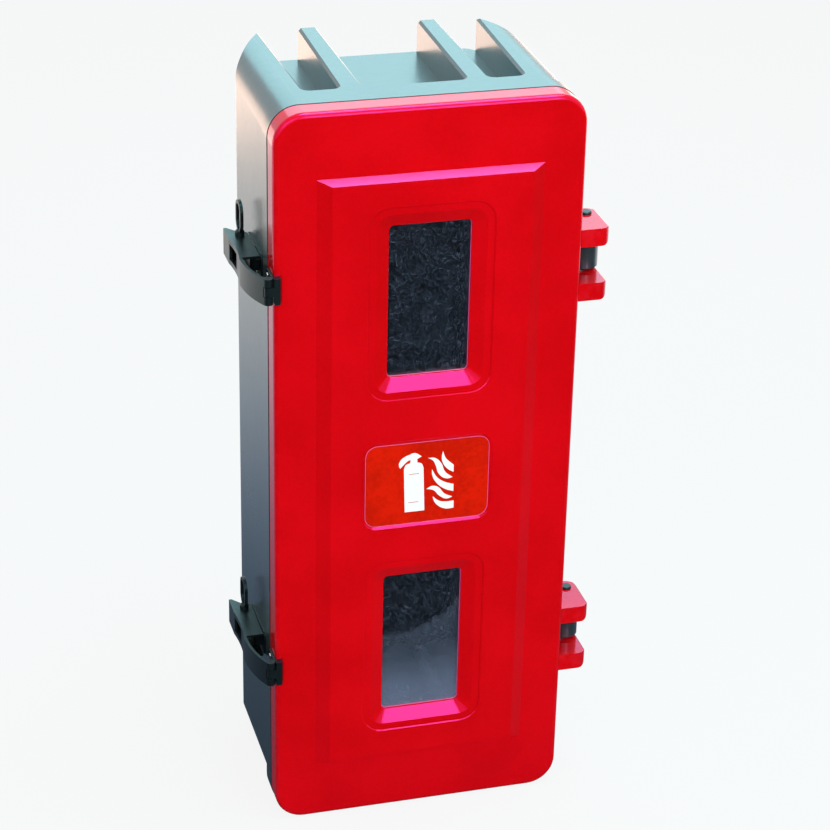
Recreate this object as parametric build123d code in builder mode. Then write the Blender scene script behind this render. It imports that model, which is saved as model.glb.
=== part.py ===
from build123d import *
import os
from math import cos, radians, sin

# A lockable plastic cabinet for one fire extinguisher, as carried on trucks: a hollow
# tub with ribbed ends, a door with a raised panel, two windows and a sign, two moulded
# hinges on the right and two swinging latches with ring pins on the left.
# Millimetres. +Z is up and the door faces -Y. The origin is on the flat back face, at
# the centre of its four fixing holes, half way up the cabinet.

# Closed cabinet, without latches and hinges
WIDTH = 300
HEIGHT = 765
BODY_DEPTH = 225
DOOR_DEPTH = 25
CORNER_RADIUS = 30

# Tub walls
BODY_WALL = 4
BODY_STEP = 1.5
BODY_LOWER_RADIUS = 42
BODY_END_RADIUS = 8
SIDE_LENGTH = 150
REAR_WIDTH = 212
SIDE_BEND_RADIUS = 30
REAR_CORNER_RADIUS = 14

# Band round the mouth of the tub
BAND_DEPTH = 20
BAND_LIP = 12
BAND_PLATE = 4

# Pockets between the fins, at the top and bottom ends
POCKET_DEPTH = 36
POCKET_START = 40
POCKET_CORNER_RADIUS = 7
POCKET_RIM_RADIUS = 2.5
POCKET_OVERRUN = 20
OUTER_POCKET_WIDTH = 33.5
INNER_FIN_FRONT = 23
INNER_FIN_REAR = 18
OUTER_FIN_FRONT = 44
OUTER_FIN_REAR = 38

# Fixing holes in the back wall
FIXING_HOLE = 8.5
FIXING_SPACING_X = 140
FIXING_SPACING_Z = 450

# Seal ring on the band
SEAL_INSET = 4.5
SEAL_WIDTH = 6.5
SEAL_HEIGHT = 3

# Door shell
DOOR_WALL = 3.5
DOOR_INSET = 0.5
DOOR_RIM_GAP = 0.6
DOOR_EDGE_RADIUS = 5
RIB_INSET = 7
RIB_WIDTH = 2
RIB_GAP = 0.3

# Raised panel of the door
PANEL_HEIGHT = 8
PANEL_SIDE_INSET = 41
PANEL_END_INSET = 65
PANEL_SIDE_BEVEL = 13
PANEL_END_BEVEL = 5
PANEL_INNER_STEP = 3

# Sign in the middle of the raised panel
SIGN_WIDTH = 125
SIGN_HEIGHT = 89
SIGN_RADIUS = 12
SIGN_DROP = -1.5
SIGN_THICKNESS = 1
SIGN_RECESS = 1.2
SIGN_MARGIN = 1
SIGN_BEVEL = 1.2

# Windows: the margins set how tall they are
WINDOW_WIDTH = 80.5
WINDOW_END_MARGIN = 31.5
WINDOW_SIGN_MARGIN = 42.5
WINDOW_RISE = 2
WINDOW_CORNER_RADIUS = 5
WINDOW_BEVEL = 13
WINDOW_BEVEL_RADIUS = 14
LEDGE_WIDTH = 8
LEDGE_DEPTH = 1.5
LEDGE_RADIUS = 21
PANE_LAP = 9
PANE_THICKNESS = 2.5
PANE_PAD_WALL = 3.5

# Clips that hold the panes
CLIP_LENGTH = 14
CLIP_FOOT = 5
CLIP_LIP = 4
CLIP_LIP_THICKNESS = 1.5
CLIP_GAP = 0.2
CLIP_END_MARGIN = 30

# Hinges, on the right
HINGE_FROM_END = 174
HINGE_RISE = -2
HINGE_OUT = 17.5
HINGE_BACK = 20
EAR_THICKNESS = 18
EAR_SPACE = 38
EAR_FRONT = 5
EAR_REACH = 30
EAR_CORNER_RADIUS = 10
EAR_UPPER_CHAMFER = 2
EAR_LOWER_RADIUS = 7
EAR_END_RADIUS = 13
KNUCKLE_RADIUS = 13.5
KNUCKLE_GAP = 0.5
KNUCKLE_CHAMFER = 3
LUG_FRONT = 10
LUG_REAR = 33
HINGE_PIN = 6
PIN_CLEARANCE = 0.05
HINGE_PIN_HEAD = 11
HINGE_PIN_HEAD_HEIGHT = 2.5
HINGE_PIN_HEAD_CHAMFER = 0.8
HINGE_PIN_TAIL = 3

# Latches, on the left: distances are from the door's front left edge
LATCH_FROM_END = 175.5
LATCH_RISE = 6
LATCH_HEIGHT = 26
LATCH_OUT = 21.5
LATCH_STRAP = 2.8
LATCH_END = 125
LATCH_STRAIGHT = 48
LATCH_WAIST = 1.9
LATCH_WAIST_END = 99
LATCH_CURVE_RADIUS = 117
LATCH_BEND = 26.5
LATCH_LIP_REACH = 6.5
LATCH_LIP_OUT = 6.6
LATCH_LIP_START = 0.1
LATCH_LIP_RADIUS = 3
LATCH_NOTCH = 1
LATCH_NOTCH_MARGIN = 1
LATCH_LEG_DEPTH = 22
LATCH_LEG_WIDTH = 3
LATCH_KNUCKLE_RADIUS = 4.4
LATCH_KNUCKLE_INSET = 0.2
LATCH_KNUCKLE_HEIGHT = 8
LATCH_KNUCKLE_GAP = 0.5
LATCH_NECK = 4
LATCH_PIN = 3.2
LATCH_PIN_CAP = 2
LATCH_WEB = 2.5
LATCH_WEB_START = 51
LATCH_WEB_END = 115
LATCH_WEB_EDGE = 1.2
LATCH_WEB_RADIUS = 8
LATCH_FLANGE_X = 10.5
LATCH_FLANGE_ROOT = 7
SLOT_LENGTH = 26
SLOT_HEIGHT = 16
SLOT_END = 28

# Keepers, inside the latches
KEEPER_PLATE = 1.9
KEEPER_START = 60
KEEPER_LENGTH = 34
KEEPER_OUT = 9
KEEPER_HEIGHT = 11
KEEPER_RADIUS = 3.5
KEEPER_PLATE_RADIUS = 5

# Ring pins, standing on the latches
RING_PIN_X = 9.5
RING_PIN_Y = 105
RING_PIN_SHANK = 5
RING_PIN_LENGTH = 7
RING_BOSS_WALL = 2
COLLAR_RADIUS = 4.5
COLLAR_HEIGHT = 5
RING_WIDTH = 23
RING_HEIGHT = 32
RING_WIRE = 3.2
RING_WIRE_CHAMFER = 0.8

# Places that follow from the sizes
TOP = HEIGHT / 2
BODY_FRONT = -BODY_DEPTH
DOOR_FRONT = BODY_FRONT - DOOR_DEPTH
PANEL_FRONT = DOOR_FRONT - PANEL_HEIGHT
DOOR_REAR = BODY_FRONT - DOOR_RIM_GAP
DOOR_SKIN_REAR = DOOR_FRONT + DOOR_WALL
DOOR_WIDTH = WIDTH - 2 * DOOR_INSET
DOOR_HEIGHT = HEIGHT - 2 * DOOR_INSET
DOOR_RADIUS = CORNER_RADIUS - DOOR_INSET
SIDE_X = WIDTH / 2 - BODY_STEP
INNER_FIN_X = WIDTH / 2 - OUTER_FIN_FRONT - OUTER_POCKET_WIDTH - INNER_FIN_FRONT / 2
PANEL_WIDTH = WIDTH - 2 * PANEL_SIDE_INSET
PANEL_LENGTH = HEIGHT - 2 * PANEL_END_INSET
LEDGE_HEIGHT = (
    PANEL_LENGTH / 2 - WINDOW_END_MARGIN - WINDOW_SIGN_MARGIN - SIGN_HEIGHT / 2 - SIGN_MARGIN
)
RECESS_WIDTH = WINDOW_WIDTH + 2 * WINDOW_BEVEL
RECESS_HEIGHT = LEDGE_HEIGHT - 2 * LEDGE_WIDTH
WINDOW_HEIGHT = RECESS_HEIGHT - 2 * WINDOW_BEVEL
WINDOW_OFFSET = (PANEL_LENGTH - LEDGE_HEIGHT) / 2 - WINDOW_END_MARGIN
HINGE_OFFSET = TOP - HINGE_FROM_END
LATCH_OFFSET = TOP - LATCH_FROM_END
WINDOW_PLACES = {"upper": WINDOW_RISE + WINDOW_OFFSET, "lower": WINDOW_RISE - WINDOW_OFFSET}
HINGE_PLACES = {"upper": HINGE_RISE + HINGE_OFFSET, "lower": HINGE_RISE - HINGE_OFFSET}
LATCH_PLACES = {"upper": LATCH_RISE + LATCH_OFFSET, "lower": LATCH_RISE - LATCH_OFFSET}
HINGE_X = WIDTH / 2 + HINGE_OUT
HINGE_Y = BODY_FRONT + HINGE_BACK

os.makedirs("parts", exist_ok=True)


def save(piece, name):
    """Label one finished piece and write it under its name."""
    piece.part.label = name
    export_step(piece.part, f"parts/{name}.step")


def front_plane(y):
    """A plane across the cabinet at y, facing the front, with its second axis up."""
    return Plane.XZ.offset(-y)


def tub_outline(sketch, inset):
    """Front outline of the tub walls: level with the band below, a step lower on top."""
    with Locations((0, -BODY_STEP / 2)):
        Rectangle(2 * (SIDE_X - inset), HEIGHT - BODY_STEP - 2 * inset)
    fillet(sketch.vertices().group_by(Axis.Y)[-1], CORNER_RADIUS - BODY_STEP - inset)
    fillet(sketch.vertices().group_by(Axis.Y)[0], BODY_LOWER_RADIUS - inset)


def tub_side(inset):
    """Side outline of the tub walls, rounded at the back and run on past the front."""
    with Locations((-BODY_DEPTH - inset, -BODY_STEP / 2)):
        RectangleRounded(
            2 * BODY_DEPTH, HEIGHT - BODY_STEP - 2 * inset, BODY_END_RADIUS - inset
        )


def tub_plan():
    """Plan of the tub: straight sides that turn inward towards a narrower back."""
    Polygon(
        (-SIDE_X, BODY_FRONT),
        (SIDE_X, BODY_FRONT),
        (SIDE_X, BODY_FRONT + SIDE_LENGTH),
        (REAR_WIDTH / 2, 0),
        (-REAR_WIDTH / 2, 0),
        (-SIDE_X, BODY_FRONT + SIDE_LENGTH),
        align=None,
    )


def pocket_plan():
    """Plan of the three pockets between the fins, open at the back."""
    start = BODY_FRONT + POCKET_START
    fin_front = INNER_FIN_FRONT / 2
    fin_rear = INNER_FIN_REAR / 2
    middle = (INNER_FIN_X - fin_front, INNER_FIN_X - fin_rear)
    inside = (INNER_FIN_X + fin_front, INNER_FIN_X + fin_rear)
    outside = (WIDTH / 2 - OUTER_FIN_FRONT, WIDTH / 2 - OUTER_FIN_REAR)
    for left, right in (
        ((-outside[0], -outside[1]), (-inside[0], -inside[1])),
        ((-middle[0], -middle[1]), middle),
        (inside, outside),
    ):
        Polygon(
            (left[0], start),
            (right[0], start),
            (right[1], POCKET_OVERRUN),
            (left[1], POCKET_OVERRUN),
            align=None,
        )


# Hollow of the tub: its outline one wall smaller, less the pockets one wall larger
with BuildPart() as hollow:
    with BuildSketch(Plane.XY.offset(-TOP)) as hollow_plan:
        tub_plan()
        offset(amount=-BODY_WALL, kind=Kind.INTERSECTION)
        fillet(hollow_plan.vertices().group_by(Axis.Y)[-1], REAR_CORNER_RADIUS - BODY_WALL)
        fillet(hollow_plan.vertices().group_by(Axis.X)[-1].sort_by(Axis.Y)[-1:], SIDE_BEND_RADIUS)
        fillet(hollow_plan.vertices().group_by(Axis.X)[0].sort_by(Axis.Y)[-1:], SIDE_BEND_RADIUS)
        with Locations((0, BODY_FRONT)):
            Rectangle(2 * (SIDE_X - BODY_WALL), 2 * BODY_WALL)
    extrude(amount=HEIGHT)
    with BuildSketch(front_plane(0)) as hollow_outline:
        tub_outline(hollow_outline, BODY_WALL)
    extrude(amount=2 * BODY_DEPTH, mode=Mode.INTERSECT)
    with BuildSketch(Plane.YZ):
        tub_side(BODY_WALL)
    extrude(amount=WIDTH, both=True, mode=Mode.INTERSECT)
    for end in (1, -1):
        with BuildSketch(Plane.XY.offset(end * TOP)):
            pocket_plan()
            offset(amount=BODY_WALL, kind=Kind.INTERSECTION)
        extrude(amount=-end * (POCKET_DEPTH + BODY_WALL), mode=Mode.SUBTRACT)

# Tub: outer form, pockets, hollow, then the band, the hinge knuckles and fixing holes
with BuildPart() as body_tub:
    with BuildSketch(Plane.XY.offset(-TOP)) as outer_plan:
        tub_plan()
        fillet(outer_plan.vertices().group_by(Axis.Y)[-1], REAR_CORNER_RADIUS)
        fillet(outer_plan.vertices().group_by(Axis.X)[-1].sort_by(Axis.Y)[-1:], SIDE_BEND_RADIUS)
        fillet(outer_plan.vertices().group_by(Axis.X)[0].sort_by(Axis.Y)[-1:], SIDE_BEND_RADIUS)
    extrude(amount=HEIGHT)
    with BuildSketch(front_plane(0)) as outer_outline:
        tub_outline(outer_outline, 0)
    extrude(amount=BODY_DEPTH, mode=Mode.INTERSECT)
    with BuildSketch(Plane.YZ):
        tub_side(0)
    extrude(amount=WIDTH, both=True, mode=Mode.INTERSECT)
    for end in (1, -1):
        with BuildSketch(Plane.XY.offset(end * TOP)) as pockets:
            pocket_plan()
            fillet(pockets.vertices().group_by(Axis.Y)[0], POCKET_CORNER_RADIUS)
        extrude(amount=-end * POCKET_DEPTH, mode=Mode.SUBTRACT)
        end_face = body_tub.faces().sort_by(Axis.Z)[-1 if end > 0 else 0]
        pocket_side = WIDTH / 2 - OUTER_FIN_REAR
        rim = end_face.edges().filter_by_position(Axis.X, -pocket_side, pocket_side)
        rim = rim.filter_by_position(Axis.Y, BODY_FRONT + BAND_DEPTH, -BODY_END_RADIUS)
        chamfer(rim, POCKET_RIM_RADIUS)
    add(hollow.part, mode=Mode.SUBTRACT)
    with BuildSketch(front_plane(BODY_FRONT)):
        RectangleRounded(WIDTH, HEIGHT, CORNER_RADIUS)
    extrude(amount=-BAND_DEPTH)
    with BuildSketch(front_plane(BODY_FRONT)) as band_hollow:
        tub_outline(band_hollow, BODY_WALL)
    extrude(amount=-BAND_DEPTH, mode=Mode.SUBTRACT)
    with BuildSketch(front_plane(BODY_FRONT)):
        RectangleRounded(WIDTH, HEIGHT, CORNER_RADIUS)
        RectangleRounded(
            WIDTH - 2 * BAND_LIP, HEIGHT - 2 * BAND_LIP, CORNER_RADIUS - BAND_LIP, mode=Mode.SUBTRACT
        )
    extrude(amount=-BAND_PLATE)
    for z in HINGE_PLACES.values():
        knuckle_height = EAR_SPACE - 2 * KNUCKLE_GAP
        with BuildPart(mode=Mode.PRIVATE) as knuckle:
            with BuildSketch(Plane.XY.offset(z - knuckle_height / 2)):
                with Locations((HINGE_X, HINGE_Y)):
                    Circle(KNUCKLE_RADIUS)
            extrude(amount=knuckle_height)
            chamfer(knuckle.faces().sort_by(Axis.Z)[0].edges(), KNUCKLE_CHAMFER)
        with BuildSketch(Plane.XY.offset(z - knuckle_height / 2)):
            with Locations(((SIDE_X + HINGE_X) / 2, BODY_FRONT + (LUG_FRONT + LUG_REAR) / 2)):
                Rectangle(HINGE_X - SIDE_X + BODY_STEP, LUG_REAR - LUG_FRONT)
        extrude(amount=knuckle_height)
        add(knuckle.part)
        with Locations(Plane.XY.offset(z)):
            with Locations((HINGE_X, HINGE_Y)):
                Hole(HINGE_PIN / 2 + PIN_CLEARANCE, depth=knuckle_height)
    with Locations(Plane.XZ):
        with GridLocations(FIXING_SPACING_X, FIXING_SPACING_Z, 2, 2):
            Hole(FIXING_HOLE / 2, depth=2 * BODY_WALL)
save(body_tub, "body_tub")

# Soft seal ring, seated on the front of the band
with BuildPart() as body_seal:
    with BuildSketch(front_plane(BODY_FRONT)):
        RectangleRounded(
            WIDTH - 2 * SEAL_INSET, HEIGHT - 2 * SEAL_INSET, CORNER_RADIUS - SEAL_INSET
        )
        RectangleRounded(
            WIDTH - 2 * (SEAL_INSET + SEAL_WIDTH),
            HEIGHT - 2 * (SEAL_INSET + SEAL_WIDTH),
            CORNER_RADIUS - SEAL_INSET - SEAL_WIDTH,
            mode=Mode.SUBTRACT,
        )
    extrude(amount=SEAL_HEIGHT)
save(body_seal, "body_seal")


def panel_sections(rear, front, shrink):
    """Rear and front outlines of the raised panel, made smaller all round by shrink."""
    with BuildSketch(front_plane(rear)) as base:
        Rectangle(PANEL_WIDTH - 2 * shrink, PANEL_LENGTH - 2 * shrink)
    with BuildSketch(front_plane(front)) as face:
        Rectangle(
            PANEL_WIDTH - 2 * (PANEL_SIDE_BEVEL + shrink), PANEL_LENGTH - 2 * (PANEL_END_BEVEL + shrink)
        )
    return [base.sketch, face.sketch]


# Hollow of the door: the tray and the inside of the raised panel, less the window pads
with BuildPart() as door_hollow:
    with BuildSketch(front_plane(DOOR_REAR)):
        RectangleRounded(
            DOOR_WIDTH - 2 * DOOR_WALL, DOOR_HEIGHT - 2 * DOOR_WALL, DOOR_RADIUS - DOOR_WALL
        )
    extrude(amount=DOOR_REAR - DOOR_SKIN_REAR)
    loft(panel_sections(DOOR_SKIN_REAR, PANEL_FRONT + DOOR_WALL, PANEL_INNER_STEP), ruled=True)
    for z in WINDOW_PLACES.values():
        with BuildSketch(front_plane(DOOR_SKIN_REAR)):
            with Locations((0, z)):
                Rectangle(RECESS_WIDTH + 2 * PANE_PAD_WALL, RECESS_HEIGHT + 2 * PANE_PAD_WALL)
        extrude(amount=PANEL_HEIGHT, mode=Mode.SUBTRACT)

# Hinge ears of the door: one plan, rounded more at the lower outer edge than above
ear_front = DOOR_FRONT + EAR_FRONT
ear_side = WIDTH / 2 + EAR_REACH
ear_inside = DOOR_WIDTH / 2 - DOOR_WALL / 2
with BuildPart() as ear:
    with BuildSketch() as ear_plan:
        with BuildLine():
            Polyline(
                (ear_inside, ear_front),
                (ear_side, ear_front),
                (ear_side, DOOR_REAR),
                (HINGE_X + EAR_END_RADIUS, HINGE_Y),
                (HINGE_X - EAR_END_RADIUS, HINGE_Y),
                (HINGE_X - EAR_END_RADIUS, DOOR_REAR),
                (ear_inside, DOOR_REAR),
                close=True,
            )
        make_face()
        fillet(ear_plan.vertices().group_by(Axis.Y)[0].sort_by(Axis.X)[-1:], EAR_CORNER_RADIUS)
        with Locations((HINGE_X, HINGE_Y)):
            Circle(EAR_END_RADIUS)
            Circle(HINGE_PIN / 2 + PIN_CLEARANCE, mode=Mode.SUBTRACT)
    extrude(amount=EAR_THICKNESS / 2, both=True)
    with BuildSketch(front_plane(0)) as ear_profile:
        with Locations((ear_side / 2, 0)):
            Rectangle(ear_side, EAR_THICKNESS)
        outer_corners = ear_profile.vertices().group_by(Axis.X)[-1].sort_by(Axis.Y)
        chamfer(outer_corners[-1:], EAR_UPPER_CHAMFER)
        outer_corners = ear_profile.vertices().group_by(Axis.X)[-1].sort_by(Axis.Y)
        fillet(outer_corners[:1], EAR_LOWER_RADIUS)
    extrude(amount=-DOOR_FRONT, mode=Mode.INTERSECT)

# Door: rounded tray, raised panel, window and sign recesses, seal rib and hinge ears
with BuildPart() as door:
    with BuildSketch(front_plane(DOOR_REAR)):
        RectangleRounded(DOOR_WIDTH, DOOR_HEIGHT, DOOR_RADIUS)
    extrude(amount=DOOR_REAR - DOOR_FRONT)
    fillet(door.faces().sort_by(Axis.Y)[0].edges(), DOOR_EDGE_RADIUS)
    loft(panel_sections(DOOR_FRONT, PANEL_FRONT, 0), ruled=True)
    add(door_hollow.part, mode=Mode.SUBTRACT)
    for z in WINDOW_PLACES.values():
        with BuildSketch(front_plane(PANEL_FRONT)):
            with Locations((0, z)):
                RectangleRounded(
                    RECESS_WIDTH + 2 * LEDGE_WIDTH, LEDGE_HEIGHT, LEDGE_RADIUS
                )
        extrude(amount=-LEDGE_DEPTH, mode=Mode.SUBTRACT)
        with BuildSketch(front_plane(PANEL_FRONT + LEDGE_DEPTH)):
            with Locations((0, z)):
                RectangleRounded(RECESS_WIDTH, RECESS_HEIGHT, WINDOW_BEVEL_RADIUS)
        with BuildSketch(front_plane(DOOR_FRONT)):
            with Locations((0, z)):
                RectangleRounded(WINDOW_WIDTH, WINDOW_HEIGHT, WINDOW_CORNER_RADIUS)
        loft(ruled=True, mode=Mode.SUBTRACT)
        with BuildSketch(front_plane(DOOR_FRONT)):
            with Locations((0, z)):
                RectangleRounded(WINDOW_WIDTH, WINDOW_HEIGHT, WINDOW_CORNER_RADIUS)
        extrude(amount=-DOOR_WALL, mode=Mode.SUBTRACT)
    for depth, margin in ((0, SIGN_MARGIN + SIGN_BEVEL), (SIGN_RECESS, SIGN_MARGIN)):
        with BuildSketch(front_plane(PANEL_FRONT + depth)):
            with Locations((0, SIGN_DROP)):
                RectangleRounded(
                    SIGN_WIDTH + 2 * margin, SIGN_HEIGHT + 2 * margin, SIGN_RADIUS + margin
                )
    loft(ruled=True, mode=Mode.SUBTRACT)
    for z in LATCH_PLACES.values():
        with BuildSketch(Plane.XY.offset(z - LATCH_HEIGHT / 2 - LATCH_NOTCH_MARGIN)):
            with Locations((-DOOR_WIDTH / 2, DOOR_FRONT)):
                Rectangle(2 * LATCH_NOTCH, 2 * (LATCH_LEG_DEPTH + LATCH_NOTCH_MARGIN))
                Rectangle(2 * (LATCH_LIP_REACH + LATCH_NOTCH_MARGIN), 2 * LATCH_NOTCH)
        extrude(amount=LATCH_HEIGHT + 2 * LATCH_NOTCH_MARGIN, mode=Mode.SUBTRACT)
    with BuildSketch(front_plane(DOOR_SKIN_REAR)):
        RectangleRounded(
            WIDTH - 2 * RIB_INSET, HEIGHT - 2 * RIB_INSET, CORNER_RADIUS - RIB_INSET
        )
        RectangleRounded(
            WIDTH - 2 * (RIB_INSET + RIB_WIDTH),
            HEIGHT - 2 * (RIB_INSET + RIB_WIDTH),
            CORNER_RADIUS - RIB_INSET - RIB_WIDTH,
            mode=Mode.SUBTRACT,
        )
    extrude(amount=-(BODY_FRONT - SEAL_HEIGHT - RIB_GAP - DOOR_SKIN_REAR))
    for z in HINGE_PLACES.values():
        for side in (1, -1):
            add(ear.part.moved(Location((0, 0, z + side * (EAR_SPACE + EAR_THICKNESS) / 2))))
save(door, "door")

# Window panes, seated on the pads behind the openings, with the clips that hold them
PANE_WIDTH = WINDOW_WIDTH + 2 * PANE_LAP
PANE_HEIGHT = WINDOW_HEIGHT + 2 * PANE_LAP
PANE_REAR = DOOR_SKIN_REAR + PANE_THICKNESS
CLIP_PITCH = PANE_HEIGHT - 2 * CLIP_END_MARGIN

for name, z in WINDOW_PLACES.items():
    with BuildPart() as pane:
        with BuildSketch(front_plane(PANE_REAR)):
            with Locations((0, z)):
                Rectangle(PANE_WIDTH, PANE_HEIGHT)
        extrude(amount=PANE_THICKNESS)
    save(pane, f"window_pane_{name}")

    with BuildPart() as clips:
        with BuildSketch(front_plane(PANE_REAR)):
            with Locations((0, z)):
                with GridLocations(PANE_WIDTH + 2 * CLIP_GAP + CLIP_FOOT, CLIP_PITCH, 2, 2):
                    Rectangle(CLIP_FOOT, CLIP_LENGTH)
        extrude(amount=PANE_THICKNESS)
        with BuildSketch(front_plane(PANE_REAR)):
            with Locations((0, z)):
                with GridLocations(PANE_WIDTH + 2 * CLIP_GAP + CLIP_FOOT - CLIP_LIP, CLIP_PITCH, 2, 2):
                    Rectangle(CLIP_FOOT + CLIP_LIP, CLIP_LENGTH)
        extrude(amount=-CLIP_LIP_THICKNESS)
    save(clips, f"pane_clips_{name}")

# Sign plate, flat in its recess
with BuildPart() as sign_plate:
    with BuildSketch(front_plane(PANEL_FRONT + SIGN_RECESS)):
        with Locations((0, SIGN_DROP)):
            RectangleRounded(SIGN_WIDTH, SIGN_HEIGHT, SIGN_RADIUS)
    extrude(amount=SIGN_THICKNESS)
save(sign_plate, "sign_plate")

# Hinge pins, dropped in from above with their heads on the upper ears
for name, z in HINGE_PLACES.items():
    ears_half = EAR_SPACE / 2 + EAR_THICKNESS
    with BuildPart() as hinge_pin:
        with BuildSketch(Plane.XY.offset(z - ears_half - HINGE_PIN_TAIL)):
            with Locations((HINGE_X, HINGE_Y)):
                Circle(HINGE_PIN / 2)
        extrude(amount=2 * ears_half + HINGE_PIN_TAIL)
        with BuildSketch(Plane.XY.offset(z + ears_half)):
            with Locations((HINGE_X, HINGE_Y)):
                Circle(HINGE_PIN_HEAD / 2)
        extrude(amount=HINGE_PIN_HEAD_HEIGHT)
        chamfer(hinge_pin.faces().sort_by(Axis.Z)[-1].edges(), HINGE_PIN_HEAD_CHAMFER)
    save(hinge_pin, f"hinge_pin_{name}")

# Latch knuckle: inside the front end of the strap's curve, where it meets the lip
CURVE_CENTRE = Vector(-LATCH_OUT + LATCH_CURVE_RADIUS, LATCH_STRAIGHT)
OUTWARD = Vector(-cos(radians(LATCH_BEND)), -sin(radians(LATCH_BEND)))
KNUCKLE = CURVE_CENTRE + OUTWARD * (
    LATCH_CURVE_RADIUS - LATCH_KNUCKLE_INSET - LATCH_KNUCKLE_RADIUS
)
KNUCKLE_MARGIN = LATCH_KNUCKLE_RADIUS + LATCH_KNUCKLE_GAP
LEG_A = DOOR_INSET + LATCH_NOTCH
WAIST_MIDDLE = (LATCH_STRAIGHT + LATCH_WAIST_END) / 2


def curve_end(inward):
    """The front end of the strap's curve, at a depth from its outside."""
    return CURVE_CENTRE + OUTWARD * (LATCH_CURVE_RADIUS - inward)


def waist_curve(inward):
    """The shallow waist of the strap, from front to back, at a depth from its outside."""
    a = -LATCH_OUT + inward
    ThreePointArc((a, LATCH_STRAIGHT), (a + LATCH_WAIST, WAIST_MIDDLE), (a, LATCH_WAIST_END))


def latch_plane(z):
    """A level plane at height z whose origin is over the door's front left edge."""
    return Plane(origin=(-WIDTH / 2, DOOR_FRONT, z))


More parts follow.
